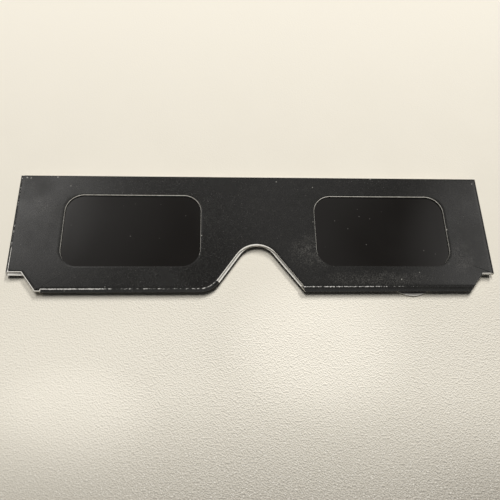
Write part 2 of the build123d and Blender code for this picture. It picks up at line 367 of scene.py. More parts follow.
def rightHalf(top, kind, corner):
    bend = notchArcs(kind)[1]
    return joinStretches(
        ("middle", stretch((0, top), bend[0])), (kind, bend),
        (kind, stretch(bend[-1], (rightEnds[kind], rightFoldY), sideStep)),
        ("seam", stretch((rightEnds[kind], rightFoldY), (rightFoldEnd, rightFoldY))), *corner,
    )


# A bent strip of board: its section carried along a path, as rows of outer and inner points
def bentStrip(outer, inner, wear):
    stations, count = outer.shape[:2]
    ring = np.concatenate([outer, inner[:, ::-1]], axis=1)
    around = gridFaces(stations, count * 2, wrapColumns=True)
    slots = np.full(around.shape[:2], bareSlot)
    slots[:, :count - 1] = printedSlot
    slots[:, [count - 1, -1]] = coreSlot
    ends = np.arange(stations * count * 2).reshape(stations, count * 2)[[0, -1]]
    near, far = ends[:, :count], ends[:, :count - 1:-1]
    caps = np.stack([near[:, :-1], near[:, 1:], far[:, 1:], far[:, :-1]], axis=-1)
    faces = np.concatenate([around.reshape(-1, 4), caps.reshape(-1, 4)])
    slots = np.concatenate([slots.reshape(-1), np.full(2 * count - 2, coreSlot)])
    return ring, faces, slots, np.concatenate([wear, np.zeros_like(wear)], axis=1)


# Node helpers: wire joins a socket to another or sets its value, put adds a node with its settings
def wire(tree, socket, value):
    if isinstance(value, bpy.types.NodeSocket):
        tree.links.new(value, socket)
    else:
        socket.default_value = value


def opaque(colour):
    return (*colour, 1) if isinstance(colour, tuple) else colour


def put(tree, kind, inputs=None, **settings):
    node = tree.nodes.new("ShaderNode" + kind)
    for key, value in settings.items():
        setattr(node, key, value)
    for key, value in (inputs or {}).items():
        wire(tree, node.inputs[key], value)
    return node


def mathsOf(operation):
    def join(tree, first, second, clamp=False):
        node = put(tree, "Math", {0: first, 1: second}, operation=operation, use_clamp=clamp)
        return node.outputs[0]
    return join


product, quotient, total = mathsOf("MULTIPLY"), mathsOf("DIVIDE"), mathsOf("ADD")
difference, largest, isBelow = mathsOf("SUBTRACT"), mathsOf("MAXIMUM"), mathsOf("LESS_THAN")


def measure(tree, operation, *vectors):
    return put(tree, "VectorMath", dict(enumerate(vectors)), operation=operation).outputs["Value"]


def axesOf(tree, vector):
    return put(tree, "SeparateXYZ", {"Vector": vector}).outputs


def ease(tree, value, low, high, toLow=0.0, toHigh=1.0):
    node = put(tree, "MapRange", {
        "Value": value, "From Min": low, "From Max": high, "To Min": toLow, "To Max": toHigh,
    }, interpolation_type="SMOOTHSTEP")
    return node.outputs["Result"]


def mixColour(tree, share, first, second):
    colours = {6: opaque(first), 7: opaque(second)}
    return put(tree, "Mix", {"Factor": share, **colours}, data_type="RGBA").outputs[2]


def noise(tree, place, scale, detail, rough=0.5):
    return put(tree, "TexNoise", {
        "Vector": place, "Scale": scale, "Detail": detail, "Roughness": rough,
    }).outputs["Fac"]


def objectPlace(tree, offset=(0, 0, 0), stretchBy=(1, 1, 1)):
    place = put(tree, "TexCoord").outputs["Object"]
    node = put(tree, "Mapping", {"Vector": place, "Location": offset, "Scale": stretchBy})
    return node.outputs["Vector"]


def startGroup(name, inputs, outputs):
    group = bpy.data.node_groups.new(name, "ShaderNodeTree")
    for label, value in inputs.items():
        socket = group.interface.new_socket(label, in_out="INPUT", socket_type="NodeSocketFloat")
        socket.default_value = value
    for label in outputs:
        group.interface.new_socket(label, in_out="OUTPUT", socket_type="NodeSocketFloat")
    return group, group.nodes.new("NodeGroupInput").outputs, group.nodes.new("NodeGroupOutput")


def finishGroup(group, result, **values):
    for label, value in values.items():
        wire(group, result.inputs[label], value)
    return group


def useGroup(tree, group, **inputs):
    return put(tree, "Group", inputs, node_tree=group).outputs


# Numbers inside the shared effects
effect = dict(
    rubFiner=4.3, rubShares=(0.7, 0.3), rubFrom=0.78, rubGain=0.5, rubRim=(-0.08, 0.10),
    dustShift=(0.31, 0.17, 0), smallest=0.3,
    hazeShift=(0.07, 0.02, 0), hazeFiner=14.0, hazeRim=(0.42, 0.68), hazeFloor=0.4,
    fibreStretch=(0.25, 1, 1), pulpShares=(0.4, 0.6), pulpRim=(0.3, 0.7),
)


# Two noises in given shares
def blendOf(tree, first, second, shares):
    return total(tree, product(tree, first, shares[0]), product(tree, second, shares[1]))


# Rubbed rims and creases, and along the bottom folds' ridges a painted highlight as well: coarse and fine
# noise, cut off higher where the wear attribute is lower
def buildRubbingAndHighlight():
    group, given, result = startGroup("rubbingAndHighlight", dict(Cover=1.0, Scale=900.0), ["Mask"])
    wear = put(group, "Attribute", attribute_name="wear").outputs["Fac"]
    place = objectPlace(group)
    coarse = noise(group, place, given["Scale"], 2.0, 0.6)
    fine = noise(group, place, product(group, given["Scale"], effect["rubFiner"]), 1.0)
    grain = blendOf(group, coarse, fine, effect["rubShares"])
    cover = product(group, wear, given["Cover"])
    level = difference(group, effect["rubFrom"], product(group, cover, effect["rubGain"]))
    mask = ease(group, difference(group, grain, level), *effect["rubRim"])
    return finishGroup(group, result, Mask=mask)


# Loose dust: one round grain in some cells of a flat Voronoi pattern, its size differing from cell to cell
def buildDust():
    group, given, result = startGroup("dustGrains", dict(Scale=300.0, Size=0.1, Share=0.2), ["Mask"])
    place = objectPlace(group, offset=effect["dustShift"])
    cells = put(group, "TexVoronoi", {"Vector": place, "Scale": given["Scale"]},
                voronoi_dimensions="2D", feature="F1")
    tint = put(group, "SeparateColor", {0: cells.outputs["Color"]}).outputs
    chosen = isBelow(group, tint[0], given["Share"])
    size = product(group, given["Size"], total(group, tint[1], effect["smallest"]))
    inside = ease(group, quotient(group, cells.outputs["Distance"], size), 1.0, 0.5)
    return finishGroup(group, result, Mask=product(group, chosen, inside))


# Handling marks on gloss: broad soft patches times a finer break-up, and the fine pits under the laminate
def buildHandling():
    group, given, result = startGroup("handling", dict(Scale=40.0, Grain=1500.0), ["Haze", "Pits"])
    place = objectPlace(group, offset=effect["hazeShift"])
    broad = ease(group, noise(group, place, given["Scale"], 3.0, 0.55), *effect["hazeRim"])
    fine = noise(group, place, product(group, given["Scale"], effect["hazeFiner"]), 3.0, 0.6)
    haze = product(group, broad, total(group, fine, effect["hazeFloor"]))
    return finishGroup(group, result, Haze=haze, Pits=noise(group, place, given["Grain"], 2.0, 0.6))


# Paper: clouds of pulp, and fibres as a noise stretched along the sheet
def buildPulp():
    group, given, result = startGroup("pulp", dict(Clouds=350.0, Fibres=2500.0), ["Tone", "Height"])
    clouds = noise(group, objectPlace(group), given["Clouds"], 3.0, 0.6)
    fibres = noise(group, objectPlace(group, stretchBy=effect["fibreStretch"]), given["Fibres"], 2.0, 0.6)
    height = blendOf(group, clouds, fibres, effect["pulpShares"])
    return finishGroup(group, result, Tone=ease(group, clouds, *effect["pulpRim"]), Height=height)


rubbingAndHighlight, dustGrains, handling, pulp = buildRubbingAndHighlight(), buildDust(), buildHandling(), buildPulp()


def startMaterial(name):
    material = bpy.data.materials.new(name)
    material.use_nodes = True
    tree = material.node_tree
    tree.nodes.clear()
    shader = put(tree, "BsdfPrincipled")
    put(tree, "OutputMaterial", {"Surface": shader.outputs["BSDF"]})
    return material, tree, shader


def feed(tree, shader, **inputs):
    fullNames = dict(Colour="Base Color", Specular="Specular IOR Level")
    for label, value in inputs.items():
        wire(tree, shader.inputs[fullNames.get(label, label)], opaque(value))


def bump(tree, height, look):
    return put(tree, "Bump", {
        "Height": height, "Strength": look["bump"], "Distance": look["relief"] / perMetre,
    }).outputs["Normal"]


def hazyGloss(tree, marks, look):
    return total(tree, product(tree, marks["Haze"], look["hazeGloss"]), look["gloss"])


# Single flecks of lint and chips of the ink, and one painted highlight, as right, up, radius and strength
flecks = dict(
    board=[
        (-16.3, -0.7, 0.24, 0.8), (60.05, 1.5, 0.3, 0.95), (19.0, 1.7, 0.22, 0.5),
        (43.6, -14.8, 0.26, 0.8), (49.4, -12.6, 0.22, 0.45), (-16.8, -6.9, 0.2, 0.45),
        # a painted highlight at the left window's top right corner
        (-18.9, 11.7, 0.2, 0.6),
        (-70.6, 18.7, 0.35, 0.7), (-69.4, 18.6, 0.3, 0.5), (-61.3, 19.0, 0.35, 0.5),
    ],
    film=[
        (-37.7, -0.8, 0.18, 0.4), (-21.3, 6.1, 0.17, 0.3), (25.0, 4.6, 0.18, 0.3), (34.2, -3.4, 0.2, 0.3),
        (20.6, -9.4, 0.17, 0.35),
    ],
)


# Shares of a fleck's radius and of a patch's reach that have its full strength
coreOfSpot, coreOfPatch = 0.4, 0.2


def lintAndHighlightSpots(tree, spots):
    flat = objectPlace(tree, stretchBy=(1, 1, 0))
    level = 0.0
    for right, up, radius, strength in spots:
        middle = (right / perMetre, up / perMetre, 0)
        away, reach = measure(tree, "DISTANCE", flat, middle), radius / perMetre
        level = largest(tree, ease(tree, away, reach * coreOfSpot, reach, strength, 0.0), level)
    return level


laminateLook = dict(
    ink=(0.0125, 0.0123, 0.0118), core=(0.66, 0.655, 0.63), dust=(0.42, 0.41, 0.38),
    gloss=0.19, hazeGloss=0.13, rubbedGloss=0.4, rubbedDepth=0.8, bump=0.35, relief=0.006,
    rub=dict(Cover=1.0, Scale=1600.0), marks=dict(Scale=38.0, Grain=1900.0),
    grains=dict(Scale=420.0, Size=0.055, Share=0.16), lint=dict(Scale=95.0, Size=0.022, Share=0.3),
    grainDust=0.2, lintDust=0.5,
    # powdery smears: right, up, reach right and up, strength
    smears=[
        (17.0, -6.0, 10.0, 9.0, 1.0), (36.0, -14.5, 26.0, 3.5, 0.9), (63.5, -8.0, 7.0, 8.0, 0.7),
        (-65.0, 9.0, 6.0, 6.0, 0.6),
    ],
    powder=0.19, film=0.035,
    patchScale=420.0, patchy=(0.35, 0.65, 0.4, 1.0), fineScale=3300.0, fine=(0.42, 0.68),
)


# Soft oval patches
def softPatches(tree, patches, scale=1.0, level=0.0):
    for right, up, reachX, reachY, strength in patches:
        shift = (-right / reachX, -up / reachY, 0)
        way = objectPlace(tree, offset=shift, stretchBy=(perMetre / reachX, perMetre / reachY, 0))
        spot = ease(tree, measure(tree, "LENGTH", way), coreOfPatch, 1.0, strength * scale, 0.0)
        level = largest(tree, spot, level)
    return level


# Powder rubbed on in soft patches: fine grains, strong inside the smears and faint elsewhere
def powderOn(tree, look):
    place = objectPlace(tree)
    level = softPatches(tree, look["smears"], look["powder"], look["film"])
    broken = ease(tree, noise(tree, place, look["patchScale"], 3.0, 0.6), *look["patchy"])
    fine = ease(tree, noise(tree, place, look["fineScale"], 2.0, 0.7), *look["fine"])
    return product(tree, product(tree, level, broken), fine)


def blackLaminate():
    material, tree, shader = startMaterial("black_laminate")
    look = laminateLook
    wornAndHighlit = useGroup(tree, rubbingAndHighlight, **look["rub"])["Mask"]
    marks = useGroup(tree, handling, **look["marks"])
    grains = useGroup(tree, dustGrains, **look["grains"])["Mask"]
    lint = useGroup(tree, dustGrains, **look["lint"])["Mask"]
    dust = largest(tree, product(tree, grains, look["grainDust"]), product(tree, lint, look["lintDust"]))
    # lint and ink chips, and one painted highlight at a window corner
    dust = largest(tree, dust, lintAndHighlightSpots(tree, flecks["board"]))
    dust = largest(tree, dust, powderOn(tree, look))
    colour = mixColour(tree, dust, look["ink"], look["dust"])
    # worn ink showing the core, which along the bottom folds is also a painted highlight
    colour = mixColour(tree, wornAndHighlit, colour, look["core"])
    gloss = hazyGloss(tree, marks, look)
    gloss = total(tree, gloss, product(tree, wornAndHighlit, look["rubbedGloss"]), clamp=True)
    height = difference(tree, marks["Pits"], product(tree, wornAndHighlit, look["rubbedDepth"]))
    feed(tree, shader, Colour=colour, Roughness=gloss, Normal=bump(tree, height, look))
    return material


# Uncoated board, for the cut core and for the bare inside
boardLook = dict(rough=0.85, specular=0.25, bump=0.5)


def plainBoard(name, light, shade, clouds, fibres, relief):
    material, tree, shader = startMaterial(name)
    look = dict(boardLook, relief=relief)
    paper = useGroup(tree, pulp, Clouds=clouds, Fibres=fibres)
    feed(tree, shader, Colour=mixColour(tree, paper["Tone"], shade, light), Roughness=look["rough"],
         Specular=look["specular"], Normal=bump(tree, paper["Height"], look))
    return material


# The film has fewer grains on the left, which the last two of grainDust give for left and right
filmGloss = dict(
    ink=(0.0115, 0.0105, 0.0098), dust=(0.4, 0.39, 0.36), marks=dict(Scale=30.0, Grain=900.0),
    grains=dict(Scale=260.0, Size=0.05, Share=0.16), grainDust=(-0.01, 0.01, 0.08, 0.24),
    gloss=0.07, hazeGloss=0.07, specular=0.28, bump=0.1, relief=0.002,
)


def darkFilm():
    material, tree, shader = startMaterial("dark_film")
    look = filmGloss
    marks = useGroup(tree, handling, **look["marks"])
    grains = useGroup(tree, dustGrains, **look["grains"])["Mask"]
    across = axesOf(tree, objectPlace(tree))["X"]
    grains = product(tree, grains, ease(tree, across, *look["grainDust"]))
    grains = largest(tree, grains, lintAndHighlightSpots(tree, flecks["film"]))
    colour = mixColour(tree, grains, look["ink"], look["dust"])
    feed(tree, shader, Colour=colour, Roughness=hazyGloss(tree, marks, look),
         Specular=look["specular"], Normal=bump(tree, marks["Pits"], look))
    return material


glueLook = dict(
    thin=(0.62, 0.58, 0.46), thick=(0.74, 0.72, 0.64), marks=dict(Scale=160.0, Grain=2200.0),
    gloss=0.35, hazeGloss=0.3, bump=0.5, relief=0.02,
)


def driedGlue():
    material, tree, shader = startMaterial("dried_glue")
    look = glueLook
    marks = useGroup(tree, handling, **look["marks"])
    colour = mixColour(tree, marks["Haze"], look["thin"], look["thick"])
    feed(tree, shader, Colour=colour, Roughness=hazyGloss(tree, marks, look),
         Normal=bump(tree, marks["Pits"], look))
    return material


# Table: a fine pebbled skin. Its grain grows towards the near side, and a painted shade makes it slightly
# darker there, more so to the right. Painted light makes it paler towards the far side. Further out painted
# shade darkens it under the lamps and painted light makes it paler away from them, which keeps it even.
# Painted pools of light and painted glints lie on it.
tableLook = dict(
    light=(0.80, 0.765, 0.675), shade=(0.785, 0.75, 0.66), paintedNearShade=(0.47, 0.445, 0.39),
    pale=(0.87, 0.835, 0.745), paintedLampShade=(0.46, 0.44, 0.39), paintedSheen=(0.97, 0.93, 0.83), paintedGlint=(0.95, 0.93, 0.87),
    # where a tone or effect starts and is full, in metres, and then its two levels
    near=(-0.045, -0.088), far=(-0.02, 0.12), beyond=(-0.08, -0.22), underLamps=(0.12, 0.75),
    right=(0.02, 0.08, 1.0, 1.35), grain=(0.0, -0.035, 0.1, 1.0), calm=(-0.065, 0.0, 0.5, 1.0),
    clouds=60.0, cloudRim=(0.3, 0.7), pebble=2300.0, finer=0.6, bump=1.0, relief=0.21, paintedGlints=0.55,
    paintedGlintRim=(0.52, 0.72), rough=0.75, specular=0.2, size=2.8, under=0.03,
    # painted pools of light: right, up, reach right and up, strength
    patches=[
        (17.0, -34.0, 42.0, 28.0, 1.0), (-50.0, -50.0, 36.0, 22.0, 0.7), (-10.0, -37.0, 130.0, 27.0, 0.38),
    ],
)


def paleTable():
    material, tree, shader = startMaterial("pale_table")
    look = tableLook
    place = objectPlace(tree)
    spot = axesOf(tree, place)
    clouds = ease(tree, noise(tree, place, look["clouds"], 2.0), *look["cloudRim"])
    near = ease(tree, spot["Y"], *look["near"])
    right = ease(tree, spot["X"], *look["right"])
    colour = mixColour(tree, clouds, look["shade"], look["light"])
    # painted pools of light from the lamps' sheen
    colour = mixColour(tree, softPatches(tree, look["patches"]), colour, look["paintedSheen"])
    # painted shade: darker towards the near side, more so to the right
    colour = mixColour(tree, product(tree, near, right, clamp=True), colour, look["paintedNearShade"])
    # painted light: paler towards the far side and further out; painted shade: darker under the lamps
    for where, tone in (("far", "pale"), ("beyond", "pale"), ("underLamps", "paintedLampShade")):
        colour = mixColour(tree, ease(tree, spot["Y"], *look[where]), colour, look[tone])
    pebbles = put(tree, "TexVoronoi", {
        "Vector": place, "Scale": look["pebble"], "Smoothness": 0.6,
    }, voronoi_dimensions="2D", feature="SMOOTH_F1").outputs["Distance"]
    pebbles = total(tree, pebbles, noise(tree, place, look["pebble"] * look["finer"], 2.0, 0.55))
    grain = ease(tree, spot["Y"], *look["grain"])
    grain = product(tree, grain, ease(tree, spot["X"], *look["calm"]))
    # painted glints on the pebbles, growing with the grain towards the near side
    paintedGlintMask = ease(tree, noise(tree, place, look["pebble"], 1.0), *look["paintedGlintRim"])
    paintedGlintMask = product(tree, product(tree, paintedGlintMask, grain), look["paintedGlints"])
    colour = mixColour(tree, paintedGlintMask, colour, look["paintedGlint"])
    feed(tree, shader, Colour=colour, Roughness=look["rough"], Specular=look["specular"],
         Normal=bump(tree, product(tree, pebbles, grain), look))
    return material


laminate = blackLaminate()
cutCore = plainBoard(
    "cut_core", light=(0.90, 0.885, 0.84), shade=(0.76, 0.74, 0.68),
    clouds=900.0, fibres=5200.0, relief=0.03,
)
windowCore = plainBoard(
    "window_core", light=(0.86, 0.84, 0.78), shade=(0.62, 0.60, 0.54),
    clouds=1300.0, fibres=5200.0, relief=0.03,
)
bareBoard = plainBoard(
    "bare_board", light=(0.58, 0.57, 0.54), shade=(0.50, 0.49, 0.46),
    clouds=260.0, fibres=2300.0, relief=0.02,
)
boardMaterials = [laminate, cutCore, bareBoard, windowCore]
film, glue = darkFilm(), driedGlue()
print("materials ready")


def settle(piece, body, node):
    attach(piece, body)
    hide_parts(node)


# Front and rear panels
def makePanel(name, left, right, laminateZ, bareZ):
    return makePiece(name, [
        halfPanel(*left, *windowOf("left"), laminateZ, bareZ),
        halfPanel(*right, *windowOf("right"), laminateZ, bareZ),
    ], boardMaterials)


def makeFront():
    left = leftHalf(browY, "notch", chain(
        (0, browY), ("brow", (-creaseX, browY)), ("leftCrease", (-creaseX, edge["wornBelow"])),
        ("wornCrease", (-creaseX, leftStepY)), ("step", (leftCutTop, leftStepY), fineStep),
        ("slant", (leftCutBottom, shortY), fineStep), ("short", (leftFoldStart, shortY), tabStep),
        ("short", (leftFoldStart, leftFoldY), tabStep),
    ))
    right = rightHalf(browY, "notch", chain(
        (rightFoldEnd, rightFoldY), ("rightSlant", (rightCutTop, rightStepY), fineStep),
        ("step", (creaseX, rightStepY), fineStep), ("rightCrease", (creaseX, browY)), ("brow", (0, browY)),
    ))
    return makePanel("front_board", left, right, frontTop, frontUnder)


def makeRear():
    top = rearHigh[1]
    topLeft, topRight = cut["rearLeftInset"] - halfWidth, halfWidth - cut["rearRightInset"]
    corner = (halfWidth - cut["rearCornerInset"], rightFoldY + cut["rearCornerRise"])
    left = leftHalf(top, "rearNotch", chain(
        (0, top), ("brow", (topLeft, top)), ("rearSlant", (leftFoldStart, leftFoldY)),
    ))
    right = rightHalf(top, "rearNotch", chain(
        (rightFoldEnd, rightFoldY), ("rearSlant", corner, fineStep), ("rearSlant", (topRight, top)),
        ("brow", (0, top)),
    ))
    return makePanel("rear_board", left, right, rearUnder, rearTop)


settle(makeFront(), "front", "front_panel")
settle(makeRear(), "front", "rear_panel")

# How a bent strip departs from a plain curve beside each of its two seams: a groove, then a low ridge
bend = dict(
    groove=0.09, grooveWidth=0.08, ridge=0.03, ridgeAt=0.2, ridgeWidth=0.14, wearWidth=0.2,
    rowsAcross=16, crowding=1.6,
)


# Shares of the way across a bend, crowded towards both seams by a power
def acrossBend(look):
    quarter = 0.5 * (np.arange(look["rowsAcross"] + 1) / look["rowsAcross"]) ** look["crowding"]
    return np.concatenate([quarter, 1 - quarter[-2::-1]])


def bell(away, width):
    return np.exp(-(away / width) ** 2)


def seamRelief(fromSeam):
    groove = bend["groove"] * bell(fromSeam, bend["grooveWidth"])
    return bend["ridge"] * bell(fromSeam - bend["ridgeAt"], bend["ridgeWidth"]) - groove


# Bottom folds: half a flattened ring, which reaches out by the fold's depth times the cosine of the turn
# and up by half the panels' thickness times its sine
# Wear of the ink along each fold's ridge, by place across the front; the same levels also paint the fold's
# highlight
foldLook = dict(
    leftAt=(-60.0, -46.0, -40.0, -20.0, -15.0), leftWearAndHighlight=(0.95, 0.88, 0.46, 0.43, 0.68),
    rightAt=(14.0, 35.0, 44.0, 50.0), rightWearAndHighlight=(0.72, 0.62, 0.3, 0.05),
    leftStep=0.6, footStep=0.12, rightStations=75,
)


def makeFold(side, place, depth):
    turn = math.pi / 2 - math.pi * acrossBend(bend)
    middleZ, half = (frontTop + rearUnder) / 2, (frontTop - rearUnder) / 2
    slit = (frontUnder - rearTop) / 2
    reach = depth * np.cos(turn)
    height = np.sin(turn) * (half + seamRelief(reach))
    outer = raised(place(reach), middleZ + height)
    inner = raised(place((depth - frontTop + frontUnder) * np.cos(turn)), middleZ + slit * np.sin(turn))
    ridge = bell(reach - bend["ridgeAt"], bend["wearWidth"]) * (turn > 0)
    # worn ridge whose pale core is also the fold's painted highlight
    wornAndHighlit = np.interp(outer[:, :, 0], foldLook[side + "At"], foldLook[side + "WearAndHighlight"])
    return makePiece(side + "_fold", [bentStrip(outer, inner, ridge * wornAndHighlit)], boardMaterials)


def leftFold():
    run = stretch((leftFoldStart, leftFoldY), (footX, leftFoldY), foldLook["leftStep"])
    radius = cut["footRadius"] - leftFoldDepth
    foot = arc((footX, footY), radius, -math.pi / 2, -footLean, foldLook["footStep"])
    path = np.concatenate([run[:-1], foot])
    angle = np.arctan2(path[:, 1] - footY, path[:, 0] - footX)
    angle[:len(run) - 1] = -math.pi / 2
    outward = towards(angle)

    def place(reach):
        return path[:, None] + outward[:, None] * reach[:, None]

    return makeFold("left", place, leftFoldDepth)


def rightFold():
    share = np.linspace(0, 1, foldLook["rightStations"])[:, None]

    def place(reach):
        start = rightEnds["rearNotch"] + reach * rightLean
        end = rightFoldEnd - reach * rightCutLean
        x = start + (end - start) * share
        return np.stack([x, np.broadcast_to(rightFoldY - reach, x.shape)], axis=2)

    return makeFold("right", place, rightFoldDepth)


settle(leftFold(), "front", "left_bottom_fold")
settle(rightFold(), "front", "right_bottom_fold")

# Side creases: board bent about the hinge line into a flat top, a rounded corner and a flat side, the same
# again below, and cut off slanting between the front's end and the root's
crease = dict(
    slit=0.03, corner=dict(left=0.10, right=0.21), rowsAcross=24, crowding=1.15, step=0.5,
    wear=dict(left=0.45, right=0.1), ridgeAt=0.03, wearWidth=0.12, blendOut=0.0725,
)


# Reach out and height along the bend: straight for the radius less the corner's, a quarter turn, straight
def creaseSection(radius, corner):
    share = acrossBend(crease)
    flat = radius - corner
    way = np.minimum(share, 1 - share) * (4 * flat + math.pi * corner)
    turned = np.clip((way - flat) / corner, 0, math.pi / 2)
    reach = np.minimum(way, flat) + corner * np.sin(turned)
    height = radius - corner * (1 - np.cos(turned)) - np.clip(way - flat - math.pi / 2 * corner, 0, flat)
    return reach, height * np.where(share <= 0.5, 1, -1)


def sideCrease(side):
    sign = -1 if side == "left" else 1
    low, high = creaseBox[side]
    lap = cut[side + "RootLap"]
    hinge = sign * creaseX
    radius = (high[2] - low[2]) / 2
    middleZ = (high[2] + low[2]) / 2
    reach, height = creaseSection(radius, crease["corner"][side])
    along = stretch((0, 0), (1, 0), crease["step"] / (high[1] - low[1]))[:, :1]
    inner = crease["slit"] / radius

    def rows(shrink, lift):
        x = np.broadcast_to(hinge + sign * reach * shrink, (len(along), len(reach)))
        z = np.broadcast_to(middleZ + height * shrink + lift, x.shape)
        end = low[1] + lap * (z - low[2]) / (high[2] - low[2])
        return np.stack([x, end + (high[1] - end) * along, z], axis=2)

    ridge = bell(reach - crease["ridgeAt"], crease["wearWidth"]) * (height > 0)
    wear = crease["wear"][side] * ridge * np.ones((len(along), 1))
    strip = bentStrip(rows(1, seamRelief(reach) * np.sign(height)), rows(inner, 0), wear)
    piece = makePiece(side + "_crease", [strip], boardMaterials)
    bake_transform(piece)
    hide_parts(side + "_temple_crease")


for side in sides:
    sideCrease(side)

# Temples. One parameter runs along the arm, round the hook and out over its round tip, the other across.
arm = dict(
    rootFlat=1.2, slope=math.radians(5.5), bendRadius=20.0, neckStart=3.0, neckLength=40.0,
    height=16.5, hookFarMargin=17.1, tail=0.7, across=26, tipRows=10,
    pastBottom=dict(left=1.0, right=-0.85), droop=dict(left=0.5, right=0.0), droopFrom=28.8, droopRun=8.0,
    rootGap=0.03, rootRows=[0, 0.3, 0.42, 0.6],
    neckFrom=0.8, neckStep=0.4, armStep=0.9, hookRows=46, tailRows=5,
)


# Height of the neck's lower edge below the brow: two equal arcs, tangent to the root and to the arm
def neckDepth(along, creaseLength):
    halfRun = arm["neckLength"] / 2
    fall = (creaseLength - arm["height"]) / 2
    radius = (halfRun ** 2 + fall ** 2) / (2 * fall)
    fromRoot = np.clip(along - arm["neckStart"], 0, halfRun)
    fromArm = np.clip(arm["neckStart"] + arm["neckLength"] - along, 0, halfRun)
    rootSide = creaseLength - radius + np.sqrt(radius ** 2 - fromRoot ** 2)
    armSide = arm["height"] + radius - np.sqrt(radius ** 2 - fromArm ** 2)
    return np.where(along < arm["neckStart"] + halfRun, rootSide, armSide)


# How far a temple has stepped down: slope after one bend, less the same again after the second
def stepDown(along, fall):
    def fallen(run):
        turned = arm["bendRadius"] * math.sin(arm["slope"])
        bent = np.clip(run, 0, turned)
        return (arm["bendRadius"] - np.sqrt(arm["bendRadius"] ** 2 - bent ** 2)
                + math.tan(arm["slope"]) * np.maximum(run - turned, 0))

    firstBend = arm["rootFlat"] - arm["bendRadius"] * math.tan(arm["slope"] / 2)
    return fallen(along - firstBend) - fallen(along - firstBend - fall / math.tan(arm["slope"]))


def makeTemple(side):
    sign = -1 if side == "left" else 1
    low = boxOf(side + "_temple")[0]
    creaseLength = browY - creaseBox[side][0][1]
    frontDepth = browY - bottomY
    hookEnd = halfWidth + creaseX - arm["hookFarMargin"]
    tipRadius = arm["height"] / 2
    tailEnd = frontDepth + arm["pastBottom"][side] - tipRadius
    outerBend = frontDepth + arm["pastBottom"]["right"] - tipRadius - arm["tail"]
    innerBend = outerBend - arm["height"]
    hookStart = hookEnd - outerBend
    thickness = rearTop - rearUnder
    rootTop = creaseBox[side][0][2] + thickness
    fall = rootTop - thickness - low[2]

    along = np.concatenate([
        arm["rootRows"], np.arange(arm["neckFrom"], arm["neckStart"], arm["neckStep"]),
        np.arange(arm["neckStart"], hookStart, arm["armStep"]), [hookStart],
    ])
    straight = np.stack([along, np.zeros_like(along)], axis=1)
    under = np.stack([along, neckDepth(along, creaseLength)], axis=1)
    slope = np.gradient(under[:, 1], under[:, 0])
    underOut = np.stack([-slope, np.ones_like(slope)], axis=1) / np.hypot(slope, 1)[:, None]
    angle = np.linspace(0, math.pi / 2, arm["hookRows"])[1:, None]
    bendOut = np.concatenate([np.sin(angle), -np.cos(angle)], axis=1)
    hookMiddle = np.array([hookStart, outerBend])
    tail = np.linspace(outerBend, tailEnd, arm["tailRows"])[1:, None]
    tailOuter = np.concatenate([np.full_like(tail, hookEnd), tail], axis=1)
    tailInner = tailOuter - [arm["height"], 0]
    outer = np.concatenate([straight, hookMiddle + outerBend * bendOut, tailOuter])
    inner = np.concatenate([under, hookMiddle + innerBend * bendOut, tailInner])
    browWay, tailWay = np.tile([0.0, -1.0], (len(straight), 1)), np.tile([1.0, 0.0], (len(tail), 1))
    outerOut = np.concatenate([browWay, bendOut, tailWay])
    innerOut = np.concatenate([underOut, -bendOut, -tailWay])
    theta = np.linspace(0, math.pi, arm["across"] + 1)
    shareAcross = (1 - np.cos(theta))[:, None] / 2
    tip = np.sin(np.linspace(0, math.pi / 2, arm["tipRows"] + 1)[1:])

    # the whole arm, drawn in by an inset at its cut edges and by another at the crease
    def grid(inset, rootInset):
        near, far = outer - outerOut * inset, inner - innerOut * inset
        near[0, 0] = far[0, 0] = rootInset
        rows = near[:, None] + (far - near)[:, None] * shareAcross
        reachOut = np.stack([np.zeros_like(theta), (tipRadius - inset) * np.sin(theta)], axis=1)
        return np.concatenate([rows, rows[-1] + reachOut * tip[:, None, None]])

    def lift(plane, depth):
        out, down = plane[..., 0], plane[..., 1]
        hang = np.clip((down - arm["droopFrom"]) / arm["droopRun"], 0, 1) * (out > hookStart)
        z = rootTop - stepDown(out, fall) - depth - arm["droop"][side] * hang ** 2 * (3 - 2 * hang)
        return np.stack([sign * (creaseX - out), browY - down, z], axis=-1)

    def border(rows):
        sides = len(outer)
        return np.concatenate([rows[0, :0:-1], rows[:sides, 0], rows[-1, 1:-1], rows[sides - 1:0:-1, -1]])

    insets, depths, worn = edgeInsets(["side"])
    rootInsets = edgeInsets(["seam"])[0] + arm["rootGap"]
    seam = np.zeros(len(border(grid(0, 0))), bool)
    seam[:arm["across"] + 1] = True
    levels = list(thickness - depths[:, 0])
    wall = levels[-1] - edge["bareFall"]
    levels += [levels[-1] - wall * share for share in edge["coreShares"][1:]] + [0.0]
    rows = zip(insets[:, 0], rootInsets[:, 0], levels)
    edgeRows = np.array([lift(border(grid(inset, root)), level) for inset, root, level in rows])
    printed = lift(grid(insets[0, 0], rootInsets[0, 0]), levels[0])
    bare = lift(grid(insets[-1, 0], rootInsets[-1, 0]), levels[-1])
    wear = edge["wearAlong"][:, None] * np.where(seam, 0, worn[0])
    slots = np.repeat(np.array(edgeSlots())[:, None], edgeRows.shape[1], axis=1)
    parts = [(edgeRows, gridFaces(*edgeRows.shape[:2], wrapColumns=True), slots, wear)]
    for surface, slot in ((printed, printedSlot), (bare, bareSlot)):
        faces = gridFaces(*surface.shape[:2])
        parts.append((surface, faces, np.full(faces.shape[:2], slot), np.zeros(surface.shape[:2])))
    return makePiece(side + "_arm", parts, boardMaterials)


for side in sides:
    settle(makeTemple(side), side + "_temple", side + "_temple")

# Films: flat sheets with a slight ripple, from three crossed waves
filmLook = dict(
    ripple=0.012, step=0.8, phase=dict(left=0.7, right=2.1), calmEdge=3,
    long=(6.1, 7.3), short=(3.7, 5.9), shortShare=0.6,
)


